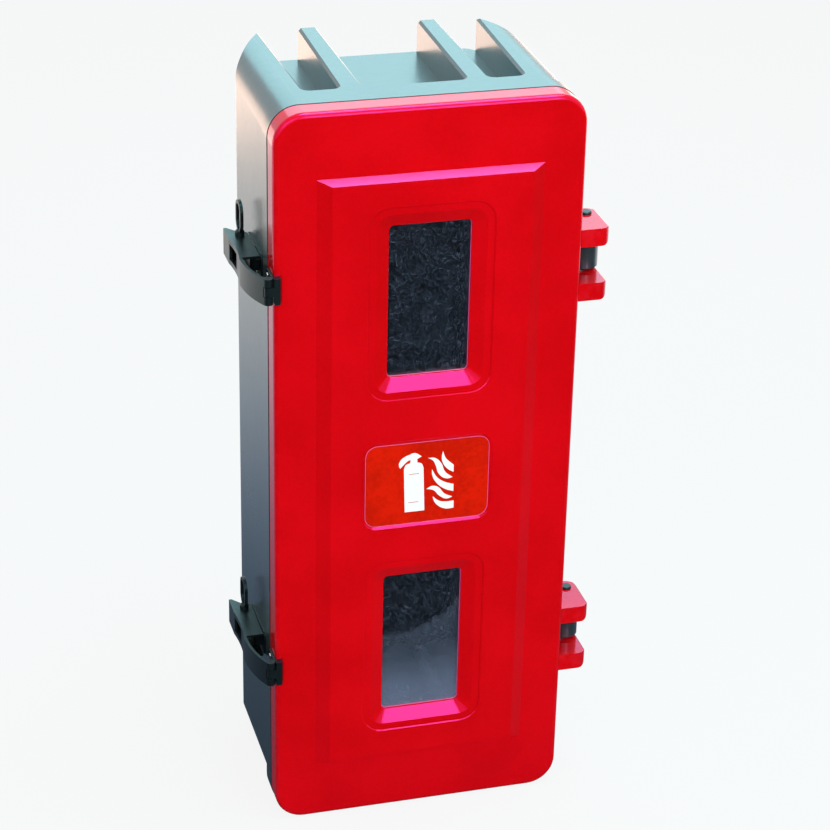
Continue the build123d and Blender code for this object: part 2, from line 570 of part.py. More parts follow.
for name, middle in LATCH_PLACES.items():
    low = middle - LATCH_HEIGHT / 2
    high = middle + LATCH_HEIGHT / 2
    tongue_low = low + LATCH_KNUCKLE_HEIGHT + LATCH_KNUCKLE_GAP
    tongue_height = LATCH_HEIGHT - 2 * (LATCH_KNUCKLE_HEIGHT + LATCH_KNUCKLE_GAP)

    # Anchor: lip on the door's face, leg along its side and the middle knuckle
    with BuildPart() as anchor:
        with BuildSketch(latch_plane(low)) as anchor_plan:
            with BuildLine():
                Polyline(
                    (-LATCH_LIP_START, -LATCH_LIP_OUT),
                    (LATCH_LIP_REACH, -LATCH_LIP_OUT),
                    (LATCH_LIP_REACH, LATCH_NOTCH),
                    (LEG_A, LATCH_NOTCH),
                    (LEG_A, LATCH_LEG_DEPTH),
                    (LEG_A - LATCH_LEG_WIDTH, LATCH_LEG_DEPTH),
                    (LEG_A - LATCH_LEG_WIDTH, LATCH_NOTCH),
                    (-LATCH_LIP_START, KNUCKLE.Y),
                    close=True,
                )
            make_face()
            lip_corner = anchor_plan.vertices().group_by(Axis.Y)[0].sort_by(Axis.X)[-1:]
            fillet(lip_corner, LATCH_LIP_RADIUS)
            with Locations(KNUCKLE):
                Circle(KNUCKLE_MARGIN, mode=Mode.SUBTRACT)
        extrude(amount=LATCH_HEIGHT)
        with BuildSketch(latch_plane(tongue_low)):
            with Locations(KNUCKLE):
                Circle(LATCH_KNUCKLE_RADIUS)
            Polygon(
                (KNUCKLE.X, -LATCH_LIP_OUT),
                (LEG_A - LATCH_NOTCH, -LATCH_LIP_OUT),
                (LEG_A - LATCH_NOTCH, KNUCKLE.Y + LATCH_NECK),
                (KNUCKLE.X, KNUCKLE.Y + LATCH_NECK),
                align=None,
            )
            with Locations(KNUCKLE):
                Circle(LATCH_PIN / 2 + PIN_CLEARANCE, mode=Mode.SUBTRACT)
        extrude(amount=tongue_height)
    save(anchor, f"latch_anchor_{name}")

    # Arm: a curved strap with webs above and below, a pull slot and two knuckles
    with BuildPart() as arm:
        with BuildSketch(latch_plane(low)):
            with BuildLine():
                RadiusArc((-LATCH_OUT, LATCH_STRAIGHT), curve_end(0), -LATCH_CURVE_RADIUS)
                Line(curve_end(0), curve_end(LATCH_STRAP))
                RadiusArc(
                    curve_end(LATCH_STRAP),
                    (-LATCH_OUT + LATCH_STRAP, LATCH_STRAIGHT),
                    LATCH_CURVE_RADIUS - LATCH_STRAP,
                )
                waist_curve(LATCH_STRAP)
                Polyline(
                    (-LATCH_OUT + LATCH_STRAP, LATCH_WAIST_END),
                    (-LATCH_OUT + LATCH_STRAP, LATCH_END - LATCH_FLANGE_ROOT),
                    (-LATCH_FLANGE_X - LATCH_WEB, LATCH_WEB_END - LATCH_WEB),
                    (-LATCH_FLANGE_X, LATCH_WEB_END - LATCH_WEB),
                    (-LATCH_FLANGE_X, LATCH_WEB_END),
                    (-LATCH_OUT + LATCH_STRAP, LATCH_END),
                    (-LATCH_OUT, LATCH_END),
                    (-LATCH_OUT, LATCH_WAIST_END),
                )
                waist_curve(0)
            make_face()
            with Locations(KNUCKLE):
                Circle(LATCH_KNUCKLE_RADIUS)
        extrude(amount=LATCH_HEIGHT)
        for web_low in (low, high - LATCH_WEB):
            with BuildSketch(latch_plane(web_low)) as web:
                with BuildLine():
                    Line((-LATCH_OUT + LATCH_STRAP / 2, LATCH_WEB_START), (-LATCH_WEB_EDGE, LATCH_WEB_START))
                    Polyline(
                        (-LATCH_WEB_EDGE, LATCH_WEB_START),
                        (-LATCH_WEB_EDGE, LATCH_WEB_END),
                        (-LATCH_FLANGE_X, LATCH_WEB_END),
                        (-LATCH_OUT + LATCH_STRAP, LATCH_END - LATCH_STRAP),
                        (-LATCH_OUT + LATCH_STRAP / 2, LATCH_WAIST_END),
                        (-LATCH_OUT + LATCH_WAIST + LATCH_STRAP / 2, WAIST_MIDDLE),
                        (-LATCH_OUT + LATCH_STRAP / 2, LATCH_WEB_START),
                    )
                make_face()
                wall_corner = web.vertices().group_by(Axis.X)[-1].sort_by(Axis.Y)[-1:]
                fillet(wall_corner, LATCH_WEB_RADIUS)
            extrude(amount=LATCH_WEB)
        with BuildSketch(latch_plane(high - RING_PIN_LENGTH)):
            with Locations((-RING_PIN_X, RING_PIN_Y)):
                Circle(RING_PIN_SHANK / 2 + RING_BOSS_WALL)
        extrude(amount=RING_PIN_LENGTH)
        with BuildSketch(latch_plane(high - RING_PIN_LENGTH)):
            with Locations((-RING_PIN_X, RING_PIN_Y)):
                Circle(RING_PIN_SHANK / 2 + PIN_CLEARANCE)
        extrude(amount=RING_PIN_LENGTH, mode=Mode.SUBTRACT)
        with BuildSketch(latch_plane(tongue_low - LATCH_KNUCKLE_GAP)):
            with Locations(KNUCKLE):
                Circle(KNUCKLE_MARGIN)
        extrude(amount=tongue_height + 2 * LATCH_KNUCKLE_GAP, mode=Mode.SUBTRACT)
        with BuildSketch(latch_plane(low)):
            with Locations(KNUCKLE):
                Circle(LATCH_PIN / 2 + PIN_CLEARANCE)
        extrude(amount=LATCH_HEIGHT - LATCH_PIN_CAP, mode=Mode.SUBTRACT)
        slot_middle = LATCH_END - SLOT_END - SLOT_LENGTH / 2
        slot_plane = Plane(
            origin=(-WIDTH / 2 - LATCH_OUT, DOOR_FRONT + slot_middle, middle),
            x_dir=(0, 1, 0),
            z_dir=(1, 0, 0),
        )
        with BuildSketch(slot_plane):
            Rectangle(SLOT_LENGTH, SLOT_HEIGHT)
        extrude(amount=LATCH_STRAP + LATCH_WAIST, mode=Mode.SUBTRACT)
    save(arm, f"latch_arm_{name}")

    # Steel pivot pin through the knuckles, pressed in from below
    with BuildPart() as pivot_pin:
        with BuildSketch(latch_plane(low)):
            with Locations(KNUCKLE):
                Circle(LATCH_PIN / 2)
        extrude(amount=LATCH_HEIGHT - LATCH_PIN_CAP)
    save(pivot_pin, f"latch_pivot_pin_{name}")

    # Keeper on the tub's side, inside the closed arm
    with BuildPart() as keeper:
        keeper_plane = Plane(
            origin=(-SIDE_X, DOOR_FRONT + (LATCH_WEB_START + LATCH_WEB_END) / 2, middle),
            x_dir=(0, -1, 0),
            z_dir=(-1, 0, 0),
        )
        with BuildSketch(keeper_plane):
            RectangleRounded(LATCH_WEB_END - LATCH_WEB_START, LATCH_HEIGHT, KEEPER_PLATE_RADIUS)
        extrude(amount=KEEPER_PLATE)
        with BuildSketch(latch_plane(middle - KEEPER_HEIGHT / 2)) as keeper_plan:
            Polygon(
                (BODY_STEP, KEEPER_START),
                (-KEEPER_OUT, KEEPER_START),
                (-KEEPER_OUT, KEEPER_START + KEEPER_LENGTH),
                (BODY_STEP, KEEPER_START + KEEPER_LENGTH),
                align=None,
            )
            fillet(keeper_plan.vertices().group_by(Axis.X)[0], KEEPER_RADIUS)
        extrude(amount=KEEPER_HEIGHT)
    save(keeper, f"latch_keeper_{name}")

    # Ring pin: a short shank in the arm's boss, a collar and an oval pull ring
    with BuildPart() as ring_pin:
        with BuildSketch(latch_plane(high - RING_PIN_LENGTH)):
            with Locations((-RING_PIN_X, RING_PIN_Y)):
                Circle(RING_PIN_SHANK / 2)
        extrude(amount=RING_PIN_LENGTH)
        with BuildSketch(latch_plane(high)):
            with Locations((-RING_PIN_X, RING_PIN_Y)):
                Circle(COLLAR_RADIUS)
        extrude(amount=COLLAR_HEIGHT)
        ring_plane = Plane(
            origin=(
                -WIDTH / 2 - RING_PIN_X,
                DOOR_FRONT + RING_PIN_Y,
                high + COLLAR_HEIGHT + RING_HEIGHT / 2 - RING_WIRE / 2,
            ),
            x_dir=(0, 1, 0),
            z_dir=(1, 0, 0),
        )
        with BuildSketch(ring_plane.offset(-RING_WIRE / 2)):
            RectangleRounded(RING_WIDTH, RING_HEIGHT, RING_WIDTH / 2 - RING_WIRE_CHAMFER)
            RectangleRounded(
                RING_WIDTH - 2 * RING_WIRE,
                RING_HEIGHT - 2 * RING_WIRE,
                RING_WIDTH / 2 - RING_WIRE - RING_WIRE_CHAMFER,
                mode=Mode.SUBTRACT,
            )
        extrude(amount=RING_WIRE)
        ring_edges = ring_pin.edges().filter_by_position(
            Axis.Z, high + COLLAR_HEIGHT, high + COLLAR_HEIGHT + RING_HEIGHT
        )
        sides = ring_edges.group_by(Axis.X)
        chamfer(sides[0] + sides[-1], RING_WIRE_CHAMFER)
    save(ring_pin, f"ring_pin_{name}")
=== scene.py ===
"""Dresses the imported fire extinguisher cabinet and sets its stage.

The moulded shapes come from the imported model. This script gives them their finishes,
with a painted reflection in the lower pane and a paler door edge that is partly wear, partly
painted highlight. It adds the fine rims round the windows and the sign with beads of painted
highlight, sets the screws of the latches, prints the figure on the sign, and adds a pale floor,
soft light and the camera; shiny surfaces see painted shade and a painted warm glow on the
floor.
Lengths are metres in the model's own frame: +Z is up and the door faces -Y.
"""

import math

import bmesh
import bpy
from mathutils import Matrix, Vector


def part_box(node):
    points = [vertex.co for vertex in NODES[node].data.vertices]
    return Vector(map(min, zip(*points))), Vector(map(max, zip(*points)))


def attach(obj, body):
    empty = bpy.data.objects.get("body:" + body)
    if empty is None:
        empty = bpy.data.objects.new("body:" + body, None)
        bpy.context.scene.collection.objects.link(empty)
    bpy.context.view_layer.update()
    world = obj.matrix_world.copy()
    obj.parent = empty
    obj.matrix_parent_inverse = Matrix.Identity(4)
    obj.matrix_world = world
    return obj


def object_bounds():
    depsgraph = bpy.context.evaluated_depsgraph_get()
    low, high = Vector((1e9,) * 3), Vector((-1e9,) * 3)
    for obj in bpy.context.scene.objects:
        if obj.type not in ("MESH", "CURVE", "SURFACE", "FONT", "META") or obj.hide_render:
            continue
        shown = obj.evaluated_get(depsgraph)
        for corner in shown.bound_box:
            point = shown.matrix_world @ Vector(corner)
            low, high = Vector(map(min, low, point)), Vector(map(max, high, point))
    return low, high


bl_info = {
    "name": "Extinguisher cabinet",
    "version": (1, 0, 0),
    "blender": (4, 5, 0),
    "location": "View3D > Sidebar > Cabinet",
    "description": "Finishes, sign, screws and stage for a packed extinguisher cabinet",
    "category": "Object",
}

ENDS = ("upper", "lower")

# Kinds of point on a drawn outline.
SMOOTH = "AUTO"
CORNER = "VECTOR"

# The rims, in metres: their skin, where they start from the door's face, and one's depth.
RIM_SKIN = 0.0002
LEDGE_RIM_SUNK = 0.0002
SIGN_RIM_PROUD = 0.0003
SIGN_RIM_DEPTH = 0.0012

# A screw's head from its middle outward, in shares of its radius and of its height.
SCREW_PROFILE = (
    (0, 0.5), (0.32, 0.5), (0.4, 1), (0.68, 0.88),
    (0.92, 0.6), (1, 0.15), (1, -0.3), (0, -0.3),
)

# Where the floor's painted shade and painted warm glow change for shiny and clear surfaces, in
# metres out or back.
FOOT_TO_WHITE = (0.05, 1.35)
FRONT_TO_BACK = (-0.5, 0.2)
WHITE_TO_WARM = (1.6, 2.1)

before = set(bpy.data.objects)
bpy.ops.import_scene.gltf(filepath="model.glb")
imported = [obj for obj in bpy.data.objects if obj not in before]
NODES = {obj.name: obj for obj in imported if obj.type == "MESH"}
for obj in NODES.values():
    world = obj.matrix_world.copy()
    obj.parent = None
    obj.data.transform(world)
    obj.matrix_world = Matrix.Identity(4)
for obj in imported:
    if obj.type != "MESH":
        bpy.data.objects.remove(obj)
CAD_LOW, CAD_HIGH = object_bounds()


class Port:
    """An output of a shader node. Arithmetic on it adds Math nodes to its material."""

    def __init__(self, finish, socket):
        self.finish = finish
        self.socket = socket

    def math(self, operation, first, second=0.0):
        return self.finish.node(
            "ShaderNodeMath", "Value", {"operation": operation}, {0: first, 1: second}
        )

    def __add__(self, other):
        return self.math("ADD", self, other)

    def __radd__(self, other):
        return self.math("ADD", other, self)

    def __sub__(self, other):
        return self.math("SUBTRACT", self, other)

    def __rsub__(self, other):
        return self.math("SUBTRACT", other, self)

    def __mul__(self, other):
        return self.math("MULTIPLY", self, other)

    def __rmul__(self, other):
        return self.math("MULTIPLY", other, self)

    def __pow__(self, other):
        return self.math("POWER", self, other)

    def __abs__(self):
        return self.math("ABSOLUTE", self)


class Graph:
    """The nodes of one material or world."""

    def __init__(self, owner):
        owner.use_nodes = True
        self.tree = owner.node_tree

    def fill(self, node, sockets):
        """Sets each named or numbered socket of a node to a value, or links a port to it."""
        for key, value in sockets.items():
            if isinstance(value, Port):
                self.tree.links.new(value.socket, node.inputs[key])
            else:
                node.inputs[key].default_value = value

    def node(self, kind, output, settings=None, sockets=None):
        """Adds a node with its settings first, then its sockets, and returns one output."""
        made = self.tree.nodes.new(kind)
        for key, value in (settings or {}).items():
            setattr(made, key, value)
        self.fill(made, sockets or {})
        return Port(self, made.outputs[output])

    def mixed(self, share, first, second):
        """A shader mixed from two, with a share of the second one."""
        return self.node(
            "ShaderNodeMixShader", "Shader", None, {0: share, 1: first, 2: second}
        )

    def glow(self, colour, strength):
        """A shader that gives off light of one colour."""
        return self.node(
            "ShaderNodeEmission", "Emission", None, {"Color": colour, "Strength": strength}
        )

    def seen_by(self, *rays):
        """1 for a ray of one of these kinds, else 0."""
        kinds = [self.node("ShaderNodeLightPath", f"Is {ray} Ray") for ray in rays]
        total = kinds[0]
        for kind in kinds[1:]:
            total = total.math("MAXIMUM", total, kind)
        return total

    def show(self, result, output):
        """Ends the graph in a shader."""
        self.tree.links.new(result.socket, self.tree.nodes[output].inputs["Surface"])


class Finish(Graph):
    """One material under construction: nodes on Object coordinates that end in a shader."""

    def __init__(self, name):
        self.material = bpy.data.materials.new(name)
        super().__init__(self.material)
        self.shader = self.tree.nodes["Principled BSDF"]
        self.place = self.node("ShaderNodeTexCoord", "Object")
        self.colour = None

    def noise(self, size, detail=2.0, rough=0.5, stretch=(1, 1, 1), twist=0.0):
        """Soft random values, about 0.5 on average, with patches of one size in metres."""
        spread = self.node(
            "ShaderNodeMapping", "Vector", None, {"Vector": self.place, "Scale": stretch}
        )
        return self.node(
            "ShaderNodeTexNoise",
            "Fac",
            None,
            {
                "Vector": spread,
                "Scale": 1 / size,
                "Detail": detail,
                "Roughness": rough,
                "Distortion": twist,
            },
        )

    def axis(self, name):
        """One coordinate of the place on the surface, in metres."""
        return self.node("ShaderNodeSeparateXYZ", name, None, {0: self.place})

    def step(self, value, low, high):
        """Rises smoothly from 0 to 1 as value goes from low to high."""
        return self.node(
            "ShaderNodeMapRange",
            "Result",
            {"interpolation_type": "SMOOTHSTEP"},
            {"Value": value, "From Min": low, "From Max": high},
        )

    def blend(self, factor, first, second):
        """A colour between two colours."""
        colour_a, colour_b, result = 6, 7, 2
        return self.node(
            "ShaderNodeMix",
            result,
            {"data_type": "RGBA"},
            {0: factor, colour_a: first, colour_b: second},
        )

    def bump(self, height, depth, under=None):
        """Surface relief of a depth in metres, on top of the relief under it."""
        sockets = {"Height": height, "Distance": depth, "Strength": 1.0}
        if under is not None:
            sockets["Normal"] = under
        return self.node("ShaderNodeBump", "Normal", None, sockets)

    def cover(self, *nodes):
        """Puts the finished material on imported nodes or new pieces."""
        for piece in nodes:
            shape = NODES[piece] if isinstance(piece, str) else piece
            shape.data.materials.clear()
            shape.data.materials.append(self.material)


def shade(colour, factor):
    """A colour made darker or lighter by a factor, with full alpha."""
    return (*(channel * factor for channel in colour[:3]), 1.0)


def moulded_plastic(name, colour, roughness, specular, tint, grain, grain_depth):
    """Moulded plastic with a fine grain in its surface and faint flow patches."""
    finish = Finish(name)
    flow = finish.noise(0.09, 3.0, 0.55)
    speckle = finish.noise(grain * 3, 2.0, 0.6)
    tone = flow * 0.7 + speckle * 0.3
    finish.colour = finish.blend(
        finish.step(tone, 0.3, 0.7), shade(colour, 0.9), shade(colour, 1.08)
    )
    fine = finish.bump(finish.noise(grain, 2.0, 0.6), grain_depth)
    relief = finish.bump(finish.noise(grain * 14, 2.0), grain_depth * 2.2, fine)
    finish.fill(
        finish.shader,
        {
            "Base Color": finish.colour,
            "Roughness": roughness + (speckle - 0.5) * 0.06 + (flow - 0.5) * 0.1,
            "Specular IOR Level": specular,
            "Specular Tint": shade(tint, 1),
            "Normal": relief,
        },
    )
    return finish


def add_piece(name, mesh):
    """A new object at the origin for a mesh that holds its own place."""
    piece = bpy.data.objects.new(name, mesh)
    bpy.context.scene.collection.objects.link(piece)
    return piece


def piece_from(name, shape):
    """A new object from a bmesh, which is freed."""
    mesh = bpy.data.meshes.new(name)
    shape.to_mesh(mesh)
    shape.free()
    return add_piece(name, mesh)


def drawn_piece(name, drawing, place):
    """A new object from curves drawn in the plane of the door, made a mesh and placed."""
    drawn = add_piece(name, drawing)
    bpy.context.view_layer.update()
    graph = bpy.context.evaluated_depsgraph_get()
    mesh = bpy.data.meshes.new_from_object(drawn.evaluated_get(graph))
    bpy.data.objects.remove(drawn)
    mesh.name = name
    mesh.transform(Matrix.Translation(place) @ Matrix.Rotation(math.pi / 2, 4, "X"))
    return add_piece(name, mesh)


def smooth(piece):
    """Shades a round piece smoothly."""
    for polygon in piece.data.polygons:
        polygon.use_smooth = True


def middle_of(low, high, depth=0.0):
    """The place midway between two corners across and up, at a depth of its own."""
    return Vector(((low.x + high.x) / 2, depth, (low.z + high.z) / 2))


class CabinetPlastics(bpy.types.PropertyGroup):
    """Colours and surface of the moulded parts"""

    door_colour: bpy.props.FloatVectorProperty(
        name="Door colour",
        description="Red of the moulded door",
        subtype="COLOR",
        size=3,
        default=(0.66, 0.0016, 0.0016),
        min=0,
        max=1,
    )
    door_sheen: bpy.props.FloatVectorProperty(
        name="Door sheen",
        description="Tint of the light that the door's surface throws back",
        subtype="COLOR",
        size=3,
        default=(1.0, 0.1, 0.7),
        min=0,
        max=1,
    )
    tub_sheen: bpy.props.FloatVectorProperty(
        name="Tub sheen",
        description="Tint of the light that the tub's and the latches' surface throws back",
        subtype="COLOR",
        size=3,
        default=(0.55, 0.92, 1.0),
        min=0,
        max=1,
    )
    # Paler red for the door's outer edge: partly rubbed wear, partly a painted highlight for
    # the light the rounded edge catches.
    rubbed_and_highlighted_colour: bpy.props.FloatVectorProperty(
        name="Rubbed edge colour",
        description="Paler red where the door's outer edge is rubbed",
        subtype="COLOR",
        size=3,
        default=(0.78, 0.03, 0.05),
        min=0,
        max=1,
    )
    tub_colour: bpy.props.FloatVectorProperty(
        name="Tub colour",
        description="Slate black of the moulded tub",
        subtype="COLOR",
        size=3,
        default=(0.026, 0.040, 0.046),
        min=0,
        max=1,
    )
    latch_colour: bpy.props.FloatVectorProperty(
        name="Latch colour",
        description="Black of the latches, ring pins and hinge pins",
        subtype="COLOR",
        size=3,
        default=(0.006, 0.009, 0.010),
        min=0,
        max=1,
    )
    grain: bpy.props.FloatProperty(
        name="Grain",
        description="Size of the fine grain in the mould's surface",
        subtype="DISTANCE",
        unit="LENGTH",
        default=0.0009,
        min=0.0002,
        max=0.01,
        precision=5,
    )
    grain_depth: bpy.props.FloatProperty(
        name="Grain depth",
        description="Depth of the fine grain",
        subtype="DISTANCE",
        unit="LENGTH",
        default=0.00006,
        min=0,
        max=0.001,
        precision=6,
    )


class CabinetWindows(bpy.types.PropertyGroup):
    """Scuffs on the two window panes, and the painted reflection in the lower one"""

    # Bluish grey of the scuffs on both panes and of the painted reflection in the lower pane.
    scuff_and_reflection_colour: bpy.props.FloatVectorProperty(
        name="Dust colour",
        description="Bluish grey of the dust and the scuffs on the panes",
        subtype="COLOR",
        size=3,
        default=(0.27, 0.34, 0.5),
        min=0,
        max=1,
    )
    scuffing: bpy.props.FloatProperty(
        name="Scuffing",
        description="How much a scuff covers",
        subtype="FACTOR",
        default=0.26,
        min=0,
        max=1,
    )
    # The round patch and its offset mark the arc-shaped edge of the painted reflection in the
    # lower pane; outside it the bluish haze is painted.
    reflection_arc_radius: bpy.props.FloatProperty(
        name="Wiped patch",
        description="Radius of the round patch wiped clear in the lower pane",
        subtype="DISTANCE",
        unit="LENGTH",
        default=0.08,
        precision=4,
    )
    reflection_arc_offset: bpy.props.FloatProperty(
        name="Wiped patch offset",
        description="Centre of the wiped patch, left of the middle",
        subtype="DISTANCE",
        unit="LENGTH",
        default=0.028,
        precision=4,
    )


class CabinetSign(bpy.types.PropertyGroup):
    """The printed sign in the middle of the door"""

    face_colour: bpy.props.FloatVectorProperty(
        name="Face colour",
        description="Orange red of the sign's face",
        subtype="COLOR",
        size=3,
        default=(0.64, 0.009, 0.0005),
        min=0,
        max=1,
    )
    ink_colour: bpy.props.FloatVectorProperty(
        name="Ink colour",
        description="White of the printed figure",
        subtype="COLOR",
        size=3,
        default=(0.92, 0.92, 0.91),
        min=0,
        max=1,
    )
    ink_thickness: bpy.props.FloatProperty(
        name="Ink thickness",
        description="How far the printed figure stands off the sign's face",
        subtype="DISTANCE",
        unit="LENGTH",
        default=0.00015,
        min=0.00005,
        max=0.001,
        precision=5,
    )


class CabinetRims(bpy.types.PropertyGroup):
    """Fine rims round the windows and the sign, and beads of painted highlight along their
    edges
    """

    # Painted highlight: the beads along the pane openings and the sign are coloured pale pink
    # for the light their cut edges catch.
    highlight_edge_colour: bpy.props.FloatVectorProperty(
        name="Edge colour",
        description="Pale pink of the cut edges that catch the light",
        subtype="COLOR",
        size=3,
        default=(0.78, 0.10, 0.33),
        min=0,
        max=1,
    )
    edge: bpy.props.FloatProperty(
        name="Edge",
        description="Thickness of the bead along an edge",
        subtype="DISTANCE",
        unit="LENGTH",
        default=0.001,
        precision=5,
    )
    window_width: bpy.props.FloatProperty(
        name="Window width",
        description="Width of a window opening",
        subtype="DISTANCE",
        unit="LENGTH",
        default=0.0805,
        precision=4,
    )
    window_height: bpy.props.FloatProperty(
        name="Window height",
        description="Height of a window opening",
        subtype="DISTANCE",
        unit="LENGTH",
        default=0.156,
        precision=4,
    )
    ledge_border: bpy.props.FloatProperty(
        name="Ledge border",
        description="From a window opening to the outline of the ledge round it",
        subtype="DISTANCE",
        unit="LENGTH",
        default=0.021,
        precision=4,
    )
    slope: bpy.props.FloatProperty(
        name="Slope",
        description="Width of the fine slope along the ledges and the sign",
        subtype="DISTANCE",
        unit="LENGTH",
        default=0.0018,
        precision=5,
    )
    window_corner: bpy.props.FloatProperty(
        name="Window corner",
        description="Corner radius of a window opening",
        subtype="DISTANCE",
        unit="LENGTH",
        default=0.005,
        precision=4,
    )
    ledge_corner: bpy.props.FloatProperty(
        name="Ledge corner",
        description="Corner radius of the ledge round a window",
        subtype="DISTANCE",
        unit="LENGTH",
        default=0.021,
        precision=4,
    )
    sign_corner: bpy.props.FloatProperty(
        name="Sign corner",
        description="Corner radius of the sign plate",
        subtype="DISTANCE",
        unit="LENGTH",
        default=0.012,
        precision=4,
    )


class CabinetScrews(bpy.types.PropertyGroup):
    """Small steel screws of the latch anchors and keepers"""

    head: bpy.props.FloatProperty(
        name="Head",
        description="Diameter of a screw's head",
        subtype="DISTANCE",
        unit="LENGTH",
        default=0.005,
        min=0.002,
        max=0.01,
        precision=4,
    )
    leg_face: bpy.props.FloatProperty(
        name="Leg face",
        description="Outer face of an anchor's leg, in from the anchor's lip",
        subtype="DISTANCE",
        unit="LENGTH",
        default=0.008,
        precision=4,
    )
    leg_inset: bpy.props.FloatProperty(
        name="Leg inset",
        description="Screws of an anchor's leg, in from its rear end",
        subtype="DISTANCE",
        unit="LENGTH",
        default=0.005,
        precision=4,
    )
    leg_spread: bpy.props.FloatProperty(
        name="Leg spread",
        description="Screws of an anchor's leg, above and below its middle",
        subtype="DISTANCE",
        unit="LENGTH",
        default=0.008,
        precision=4,
    )
    plate_face: bpy.props.FloatProperty(
        name="Plate face",
        description="Outer face of a keeper's plate, out from the tub's side",
        subtype="DISTANCE",
        unit="LENGTH",
        default=0.0019,
        precision=4,
    )
    plate_inset: bpy.props.FloatProperty(
        name="Plate inset",
        description="Screws of a keeper's plate, in from its rear end",
        subtype="DISTANCE",
        unit="LENGTH",
        default=0.011,
        precision=4,
    )
    plate_spread: bpy.props.FloatProperty(
        name="Plate spread",
        description="Screws of a keeper's plate, above and below its middle",
        subtype="DISTANCE",
        unit="LENGTH",
        default=0.007,
        precision=4,
    )


class CabinetStage(bpy.types.PropertyGroup):
    """Floor, light and camera"""

    floor_size: bpy.props.FloatProperty(
        name="Floor size",
        description="Side of the square floor",
        subtype="DISTANCE",
        unit="LENGTH",
        default=24.0,
        min=4,
    )
    eye: bpy.props.FloatVectorProperty(
        name="Camera place",
        description="Where the camera stands",
        subtype="TRANSLATION",
        unit="LENGTH",
        size=3,
        default=(-0.60281, -2.34078, 1.15942),
    )
    heading: bpy.props.FloatProperty(
        name="Heading",
        description="How far the camera looks to the right of straight ahead",
        subtype="ANGLE",
        unit="ROTATION",
        default=math.radians(15.792),
    )
    tilt: bpy.props.FloatProperty(
        name="Tilt",
        description="How far the camera looks down",
        subtype="ANGLE",
        unit="ROTATION",
        default=math.radians(26.661),
    )
    roll: bpy.props.FloatProperty(
        name="Roll",
        description="How far the camera leans to the left",
        subtype="ANGLE",
        unit="ROTATION",
        default=math.radians(1.2647),
    )
    lens: bpy.props.FloatProperty(
        name="Lens",
        description="Focal length in millimetres on a 36 mm wide sensor",
        default=109.82,
        min=10,
    )
    surroundings: bpy.props.FloatProperty(
        name="Surroundings",
        description="Brightness of the even light from all sides",
        default=0.5,
        min=0,
    )
    key_power: bpy.props.FloatProperty(
        name="Front light",
        description="Power of the soft light in front",
        subtype="POWER",
        unit="POWER",
        default=41.0,
        min=0,
    )
    bevel_power: bpy.props.FloatProperty(
        name="Bevel light",
        description="Power of the smaller light in front, on the right, that the bevels mirror",
        subtype="POWER",
        unit="POWER",
        default=34.0,
        min=0,
    )
    sky_power: bpy.props.FloatProperty(
        name="Rear light",
        description="Power of the cool soft light behind and above",
        subtype="POWER",
        unit="POWER",
        default=25.0,
        min=0,
    )
    top_power: bpy.props.FloatProperty(
        name="Top light",
        description="Power of the cool soft light overhead",
        subtype="POWER",
        unit="POWER",
        default=58.0,
        min=0,
    )
    sky_colour: bpy.props.FloatVectorProperty(
        name="Cool light colour",
        description="Colour of the rear and the top light",
        subtype="COLOR",
        size=3,
        default=(0.42, 0.93, 1.0),
        min=0,
        max=1,
    )


class CABINET_OT_finish_door(bpy.types.Operator):
    """Gives the door its red moulded plastic, a little paler along the outer edge, partly
    rubbed wear and partly painted highlight
    """

    bl_idname = "cabinet.finish_door"
    bl_label = "Finish door"

    def execute(self, context):
        plastics = context.scene.cabinet_plastics
        finish = moulded_plastic(
            "red_door_plastic",
            plastics.door_colour,
            roughness=0.14,
            specular=0.75,
            tint=plastics.door_sheen,
            grain=plastics.grain,
            grain_depth=plastics.grain_depth * 0.15,
        )
        low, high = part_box("door")
        rim = 0.006
        half_width = -low.x
        half_height = high.z
        # Paler red in patches along the outer edge: partly rubbed wear, partly a painted
        # highlight where the rounded edge catches the light.
        side = finish.step(abs(finish.axis("X")), half_width - rim, half_width)
        end = finish.step(abs(finish.axis("Z")), half_height - rim, half_height)
        patches = finish.step(finish.noise(0.012, 4.0, 0.7), 0.42, 0.62)
        rubbed_and_highlighted = (side + end) * patches * 0.15
        worn_and_highlighted = finish.blend(rubbed_and_highlighted, finish.colour, shade(plastics.rubbed_and_highlighted_colour, 1))
        finish.fill(finish.shader, {"Base Color": worn_and_highlighted})
        finish.cover("door")
        return {"FINISHED"}


class CABINET_OT_finish_tub(bpy.types.Operator):
    """Gives the tub its slate black moulded plastic"""

    bl_idname = "cabinet.finish_tub"
    bl_label = "Finish tub"

    def execute(self, context):
        plastics = context.scene.cabinet_plastics
        finish = moulded_plastic(
            "slate_tub_plastic",
            plastics.tub_colour,
            roughness=0.3,
            specular=0.9,
            tint=plastics.tub_sheen,
            grain=plastics.grain,
            grain_depth=plastics.grain_depth * 1.3,
        )
        finish.fill(finish.shader, {"Coat Weight": 0.4, "Coat Roughness": 0.22})
        finish.cover("body_tub")
        return {"FINISHED"}


class CABINET_OT_finish_latches(bpy.types.Operator):
    """Gives latches, keepers, ring pins, hinge pins and pane clips their black nylon"""

    bl_idname = "cabinet.finish_latches"
    bl_label = "Finish latches"

    def execute(self, context):
        plastics = context.scene.cabinet_plastics
        finish = moulded_plastic(
            "black_latch_nylon",
            plastics.latch_colour,
            roughness=0.34,
            specular=0.5,
            tint=plastics.tub_sheen,
            grain=plastics.grain * 0.7,
            grain_depth=plastics.grain_depth * 0.7,
        )
        kinds = (
            "latch_arm",
            "latch_anchor",
            "latch_keeper",
            "ring_pin",
            "hinge_pin",
            "pane_clips",
        )
        finish.cover(*(f"{kind}_{end}" for kind in kinds for end in ENDS))
        return {"FINISHED"}


